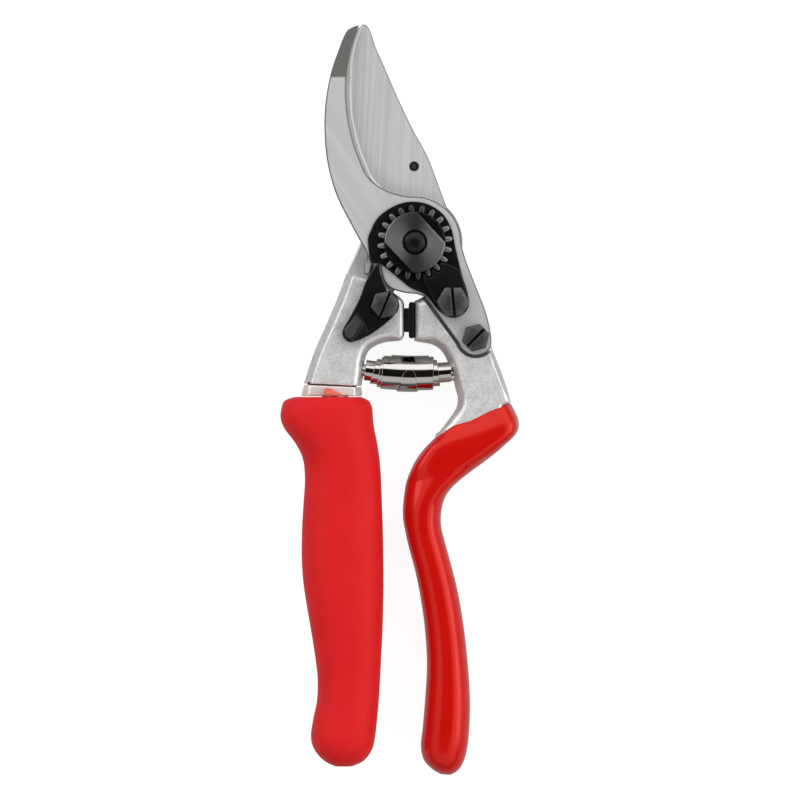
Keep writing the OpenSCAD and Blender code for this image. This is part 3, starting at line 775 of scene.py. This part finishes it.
def left_plan():
    """Outline of the left handle, carried on past its foot."""
    plan = away_from(cut_at("left_handle", 6.0), CATCH_AT, 3.0)
    kept = plan[(plan[:, :, 1] > -38.6).all(axis=1)]
    ends = kept.reshape(-1, 2)
    outer_end = min(ends[ends[:, 0] < -22], key=lambda p: p[1])
    inner_end = min(ends[ends[:, 0] > -22], key=lambda p: p[1])
    foot = loop_segments([outer_end, (-33.5, -46), (-15.4, -46), inner_end])[:3]
    return np.concatenate([kept, foot])


def left_handle(x, y, z):
    """Full forging, with a thinner half-lapped head round the pivot."""
    outline = signed(x, y, left_plan())
    lap = np.minimum(np.hypot(x, y) - LAP_R, signed(x, y, loop_segments(LAP)))
    # The inner side has a rounder edge than the outer side, and the horn's face hardly slopes
    inner = np.clip((x + 14 - (y + 10) * 0.33) / 4 + 0.5, 0, 1)
    horn = np.clip((x + 7) / 3, 0, 1)
    draft = 2.0 - 0.8 * inner - 0.8 * horn
    full = forging(z, outline, *HANDLE_Z, draft, 0.45 + 0.9 * inner - 0.3 * horn)
    full = both(full, -lap, 0.25)
    low = both(outline, np.abs(z - (RING_Z0 + LAP_Z) / 2) - (LAP_Z - RING_Z0) / 2, 0.3)
    solid = np.minimum(full, np.maximum(low, lap - 0.6))
    return both(solid, foot_line(x) - y, 0.2)


def right_handle(x, y, z):
    """Forging with a lower seat for the counter blade's tang, and a short root inside the coat."""
    outline = signed(x, y, cut_at("right_handle", 4.5))
    turn = np.radians(np.linspace(200, 322, 17))
    seat_end = np.column_stack([np.cos(turn), np.sin(turn)]) * SEAT_END_R + TANG_AT
    seat = signed(x, y, loop_segments([(2.3, -15.4), (6.6, -21.4), *seat_end, (24, -30), (24, -5), (0, 0)]))
    inner = np.clip(((8 - (y + 20) * 0.417) - x) / 5 + 0.5, 0, 1)
    horn = np.clip((5 - x) / 3, 0, 1) * np.clip((y + 30) / 3, 0, 1)
    # Near the coat's edge the forging is fuller, so that it fills the coat's mouth
    mouth = np.clip((coat_line(x) + 6.1 - y) / 4, 0, 1)
    draft = (1.2 + 0.5 * inner - 1.2 * horn) * (1 - 0.7 * mouth)
    solid = forging(z, outline, *HANDLE_Z, draft, 0.4 + 0.9 * inner + 0.7 * horn + 0.9 * mouth)
    solid = both(solid, -both(seat, SEAT_Z - z, 0.2), 0.3)
    past_coat = (coat_line(x) - y) * 0.905
    return np.maximum(solid, past_coat - 3.0)


def make_handles():
    """Both forgings, cut off in the gap at the foot and under the coat."""
    step = 0.25
    low, high = box_mm("left_handle")
    left = skin("left_forging", left_handle, low, high, step, [FORGED])
    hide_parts("left_handle")
    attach(left, "left_body")
    low, high = box_mm("right_handle")
    # Nothing of this forging lies further down
    low[1] = max(low[1], -62)
    right = skin("right_forging", right_handle, low, high, step, [FORGED])
    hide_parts("right_handle")
    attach(right, "right_body")


make_handles()


# ---------------------------------------------------------------- grips

COAT_Z = 9.2
COAT_HALF = 8.9
# Direction out of the coat's mouth, up the handle
UP_HANDLE = np.array([-0.424, 0.905])
# Outer x and y, inner x and y, and share of COAT_HALF, of each section of the coat
COAT_RIBS = [
    (26.9, -45, 4.9, -55.3, 0.79), (29, -49.4, 2.4, -57.9, 0.95), (28.6, -53.2, 0.2, -61, 1),
    (24.4, -57.4, -1.4, -64.3, 1), (20.2, -60.8, -2.5, -67.5, 1), (15.7, -64.1, -3.1, -71.5, 1),
    (11.5, -67.5, -3.35, -75, 0.98), (8.7, -70.9, -3.2, -78, 0.96),
    (7.5, -75, -2.6, -81.2, 0.94), (7.4, -79.2, -1.9, -84.4, 0.92),
    (8.4, -83.6, -1, -87.8, 0.91), (9.9, -89, 0.2, -92.3, 0.91),
    (12, -97.4, 1.6, -99.4, 0.93), (13.7, -107.2, 2.8, -108, 0.96),
    (14.9, -118, 3.4, -118, 0.99), (15.5, -128, 2.9, -127.6, 1), (15.3, -136, 2.2, -135.8, 0.99),
    (14.7, -141.8, 1.7, -141, 0.94), (13.5, -145.8, 2.5, -144.8, 0.82),
    (11.9, -148, 4.8, -147.4, 0.6), (10.2, -149, 7.1, -148.8, 0.3)]


def make_coat():
    """Dipped coat, squarer at its mouth than further down."""
    sides, steps = ((128, 8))
    ribs = spline(COAT_RIBS, steps)
    rings = []
    for i, (ax, ay, bx, by, half) in enumerate(ribs):
        start = max(0, 1 - i / steps / 4)
        power = 2.4 + 6 * start
        rings.append(oval((ax, ay), (bx, by), COAT_Z, COAT_HALF * half, power, sides, 0.11 * start))
    # The edge of the coat dips across the faces of the handle
    outer, inner = np.array(COAT_RIBS[0][:2]), np.array(COAT_RIBS[0][2:4])
    across = outer - inner
    share = np.clip((outer - rings[0][:, :2]) @ across / (across @ across), 0, 1)
    wave = np.interp(share, [0, 0.25, 0.5, 0.68, 0.84, 1], [0, 0.5, 0.35, 1.3, 0.7, 0])
    for i in range(2 * steps):
        fade = (1 - i / (2 * steps)) ** 2
        rings[i][:, :2] += np.outer(wave * fade, UP_HANDLE)
    # Rounded lip that turns in to the metal
    middle = rings[0].mean(axis=0)
    lip = []
    for inward, along in [(3.4, -0.9), (2.2, -0.3), (1.0, 0.05), (0.4, 0.14)]:
        ring = rings[0].copy()
        out = ring - middle
        ring -= out / np.maximum(np.linalg.norm(out, axis=1), 1e-6)[:, None] * inward
        ring[:, :2] += along * UP_HANDLE
        lip.append(ring)
    coat = tube("coat", lip + rings, [RED_COAT])
    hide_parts("right_grip")
    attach(coat, "right_body")


GRIP_X = -22.6
GRIP_Z = 10.3
GRIP_HALF = 10.2
MOUTH_R = 8.1
# Left x, right x, y, and share of GRIP_HALF, of each section of the rotating grip
GRIP_RIBS = [
    (-34, -15, -43.2, 0.82), (-36.5, -12.9, -44.2, 0.93), (-37.35, -11.95, -46.2, 0.99),
    (-37.6, -11.7, -49.2, 1), (-36.4, -11.3, -52.2, 0.99), (-33.4, -10.5, -56.2, 0.96),
    (-31.4, -9.9, -60.4, 0.92), (-30.8, -9.45, -66, 0.89), (-31.2, -9.2, -73, 0.9),
    (-31.6, -8.95, -80, 0.93), (-31.7, -8.8, -88, 0.95), (-31.25, -8.75, -95, 0.95),
    (-30.2, -8.85, -102, 0.93), (-29, -9.05, -109, 0.9), (-27.9, -9.4, -116, 0.86),
    (-27.25, -9.7, -122, 0.84), (-27.4, -10.05, -128, 0.86), (-28.6, -10.6, -134, 0.89),
    (-29.1, -11.15, -138.6, 0.9), (-28.1, -12, -142, 0.84), (-25.5, -14.2, -145, 0.68),
    (-22.6, -17.3, -146.5, 0.46)]


def make_rotating_grip():
    """Moulded grip with an open mouth at its top."""
    sides, steps = ((128, 8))
    ribs = spline(GRIP_RIBS, steps)
    rings = [oval((left, y), (right, y), GRIP_Z, GRIP_HALF * half, 2.3, sides)
             for left, right, y, half in ribs]
    # The rim turns in to the mouth round the upper bush
    w = np.linspace(0, 2 * math.pi, sides, endpoint=False)
    circle = np.column_stack([GRIP_X + MOUTH_R * np.cos(w), 0 * w, GRIP_Z + MOUTH_R * np.sin(w)])
    mouth = []
    for share, level in [(1, -46.2), (1, -44), (0.9, -43.35), (0.6, -43.2), (0.25, -43.12)]:
        ring = rings[0] * (1 - share) + circle * share
        ring[:, 1] = level
        mouth.append(ring)
    grip = tube("turning_grip", mouth + rings, [RED_GRIP])
    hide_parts("rotating_grip")
    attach(grip, "grip")


make_coat()
make_rotating_grip()


# ---------------------------------------------------------------- spring

SPRING_START = np.array([-13.8, -35.7, 9.8])
SPRING_LENGTH = 22.6
SPRING_TILT = math.radians(-2.8)
# Thickness of the wound strip
STRIP = 0.34
# Each inner turn: left edge at the top and bottom, right edge at the top and bottom, radius
TURNS = [(0.15, -0.4, 3.6, 2.0, 2.9), (3.1, 1.4, 5.2, 3.8, 3.6), (4.5, 3.3, 7.0, 5.0, 4.3),
         (5.0, 4.4, 18.9, 19.2, 4.7), (17.6, 18.4, 19.8, 21.1, 3.75), (19.2, 20.2, 24.0, 24.1, 2.85)]
# Edges of the outer strip at angles round the spring
STRIP_TURN = [-11, 0, 30, 90, 180, 270, 318]
STRIP_LEFT = [10.5, 10.5, 10.1, 9.1, 8.3, 7.1, 6.9]
STRIP_RIGHT = [14.1, 14.1, 14.4, 14.7, 16.4, 17.5, 17.8]


def on_spring(s, radius, angle):
    """Point on the bowed spring, s along it. Angle 90 degrees is its +Y side, and 0 its +Z side."""
    u = s - SPRING_LENGTH / 2
    # The middle hangs a little lower than the two ends
    y = -0.34 + 0.0221 * u + 0.0054 * u * u + radius * np.sin(angle)
    c, sn = math.cos(SPRING_TILT), math.sin(SPRING_TILT)
    return np.stack([SPRING_START[0] + s * c - y * sn, SPRING_START[1] + s * sn + y * c,
                     SPRING_START[2] + radius * np.cos(angle)], axis=-1)


def strip(angles, left, right, radius, closed):
    """Wound strip from its edges left and right and its outer radius, each given at the angles."""
    # Corners of the section: share of the width, shift along the spring, and depth. e is the chamfer.
    e, columns = 0.1, 10
    section = [(0, 0, -e), (0, e, 0)] + [(t, e - 2 * e * t, 0) for t in np.linspace(0, 1, columns)[1:-1]]
    section += [(1, -e, 0), (1, 0, -e), (1, 0, e - STRIP), (1, -e, -STRIP), (0, e, -STRIP),
                (0, 0, e - STRIP)]
    points = []
    for t, shift, depth in section:
        s = left + (right - left) * t + np.clip(right - left, 0, 2 * e) / (2 * e) * shift
        points.append(on_spring(s, radius + depth, angles))
    points = np.stack(points, axis=1)
    rows, sides = points.shape[:2]
    faces = ring_faces(rows, sides)
    if closed:
        last = (rows - 1) * sides
        faces += [(last + i, last + (i + 1) % sides, (i + 1) % sides, i) for i in range(sides)]
    else:
        faces += end_faces(rows, sides)
    return points.reshape(-1, 3), faces


def make_spring():
    """Volute spring of stepped turns, with one strip wound over its middle."""
    rows = 112
    turn = np.linspace(0, 2 * math.pi, rows, endpoint=False)
    parts = []
    for lt, lb, rt, rb, r in TURNS:
        share = (1 + np.sin(turn)) / 2
        parts.append(strip(turn, lb + (lt - lb) * share, rb + (rt - rb) * share, r, True))
    # The outer strip runs from its round end on the front, round the back, and over the top
    first, last, round_end = 11, -318, 21.6
    angles = np.radians(np.linspace(first, last, rows * 2))
    degrees = np.degrees(angles)
    left = np.interp(-degrees, STRIP_TURN, STRIP_LEFT)
    right = np.interp(-degrees, STRIP_TURN, STRIP_RIGHT)
    short = np.clip(degrees - first + round_end, 0, round_end) / round_end
    width = np.sqrt(np.clip(1 - short ** 2, 0.001, 1))
    middle, half = (left + right) / 2, (right - left) / 2 * width
    parts.append(strip(angles, middle - half, middle + half, np.linspace(5.14, 5.06, rows * 2), False))
    points, faces, count = [], [], 0
    for p, f in parts:
        points.append(p)
        faces += [tuple(i + count for i in face) for face in f]
        count += len(p)
    spring = new_object("volute", np.concatenate(points), faces, [CHROME])
    edges = spring.modifiers.new("edges", "EDGE_SPLIT")
    edges.split_angle = math.radians(40)
    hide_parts("volute_spring")
    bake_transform(spring)


make_spring()


# ---------------------------------------------------------------- floor, light and camera

FLOOR_HALF = 3000
FLOOR_Z = -0.15


def make_floor():
    """Plain pale floor. The camera sees it brighter than the object does."""
    s = Shader("Floor")
    base = s.colour(s.noise(0.004, 2), (0.3, grey(0.2)), (0.7, grey(0.22)))
    seen = s.add("ShaderNodeLightPath").outputs["Is Camera Ray"]
    material = s.surface(Base_Color=base, Roughness=0.9, Emission_Color=(1, 1, 1, 1),
                         Emission_Strength=s.span(seen, 0.25, 0.9))
    points = [(x * FLOOR_HALF, y * FLOOR_HALF, FLOOR_Z) for x, y in [(-1, -1), (1, -1), (1, 1), (-1, 1)]]
    floor = new_object("floor", points, [(0, 1, 2, 3)], [material])


OBJECT_CENTRE = Vector((-0.004, -0.044, 0.01))


def softbox(name, azimuth, polar, distance, size, power):
    """Rectangular light that faces the object. Azimuth 0 is +X, and polar is the angle from +Z."""
    a, p = math.radians(azimuth), math.radians(polar)
    out = Vector((math.sin(p) * math.cos(a), math.sin(p) * math.sin(a), math.cos(p)))
    data = bpy.data.lights.new(name, "AREA")
    data.shape = "RECTANGLE"
    data.size, data.size_y = size
    data.energy = power
    lamp = bpy.data.objects.new(name, data)
    lamp.location = OBJECT_CENTRE + out * distance
    lamp.rotation_mode = "QUATERNION"
    lamp.rotation_quaternion = out.to_track_quat("Z", "Y")
    bpy.context.scene.collection.objects.link(lamp)


WORLD = 1.9
# Brightness of the world by the height of the direction, which is 0 at the horizon and 1 straight above
SKY = [(0.0, 0.15), (0.3, 0.15), (0.5, 1.0), (0.87, 1.0), (0.92, 0.01)]
# Direction of the brighter walls, and the share of light that the walls opposite have
BRIGHT_SIDE = (0.55, 0.83, 0)
FAR_SIDE = 0.45


def make_world():
    """Soft studio: bright walls of light at middle height, dark near the horizon and straight above.
    The camera sees a plain pale background instead."""
    world = bpy.data.worlds.new("studio")
    bpy.context.scene.world = world
    world.use_nodes = True
    tree = world.node_tree
    tree.nodes.clear()
    place = tree.nodes.new("ShaderNodeTexCoord")
    axes = tree.nodes.new("ShaderNodeSeparateXYZ")
    ramp = tree.nodes.new("ShaderNodeValToRGB")
    light = tree.nodes.new("ShaderNodeBackground")
    plain = tree.nodes.new("ShaderNodeBackground")
    seen = tree.nodes.new("ShaderNodeLightPath")
    mix = tree.nodes.new("ShaderNodeMixShader")
    output = tree.nodes.new("ShaderNodeOutputWorld")
    tree.links.new(place.outputs["Generated"], axes.inputs[0])
    tree.links.new(axes.outputs[2], ramp.inputs[0])
    side = tree.nodes.new("ShaderNodeVectorMath")
    side.operation = "DOT_PRODUCT"
    side.inputs[1].default_value = BRIGHT_SIDE
    share = tree.nodes.new("ShaderNodeMapRange")
    share.inputs["From Min"].default_value = -0.5
    share.inputs["From Max"].default_value = 0.5
    share.inputs["To Min"].default_value = FAR_SIDE * WORLD
    share.inputs["To Max"].default_value = WORLD
    tree.links.new(place.outputs["Generated"], side.inputs[0])
    tree.links.new(side.outputs["Value"], share.inputs["Value"])
    tree.links.new(share.outputs[0], light.inputs[1])
    while len(ramp.color_ramp.elements) < len(SKY):
        ramp.color_ramp.elements.new(0.5)
    for element, (position, value) in zip(ramp.color_ramp.elements, SKY):
        element.position = position
        element.color = (value, value, value, 1)
    tree.links.new(ramp.outputs[0], light.inputs[0])
    plain.inputs[0].default_value = (0.9, 0.9, 0.9, 1)
    tree.links.new(seen.outputs["Is Camera Ray"], mix.inputs[0])
    tree.links.new(light.outputs[0], mix.inputs[1])
    tree.links.new(plain.outputs[0], mix.inputs[2])
    tree.links.new(mix.outputs[0], output.inputs[0])


make_floor()
make_world()
softbox("right_box", 0, 68, 1.3, (0.9, 0.7), 4)
softbox("left_box", 150, 70, 1.3, (0.9, 0.6), 4.5)

# The camera looks straight down at the middle of the object, and takes in VIEW_WIDTH at BLADE_LEVEL
DISTANCE = 2.0
VIEW_AT = (-0.00414, -0.04399)
VIEW_WIDTH = 0.224
BLADE_LEVEL = 0.012
camera_data = bpy.data.cameras.new("camera")
camera_data.sensor_width = 36
camera_data.lens = camera_data.sensor_width * (DISTANCE - BLADE_LEVEL) / VIEW_WIDTH
camera_data.clip_end = 10
camera = bpy.data.objects.new("camera", camera_data)
camera.location = (*VIEW_AT, DISTANCE)
bpy.context.scene.collection.objects.link(camera)
bpy.context.scene.camera = camera
bpy.context.scene.view_settings.view_transform = "Standard"
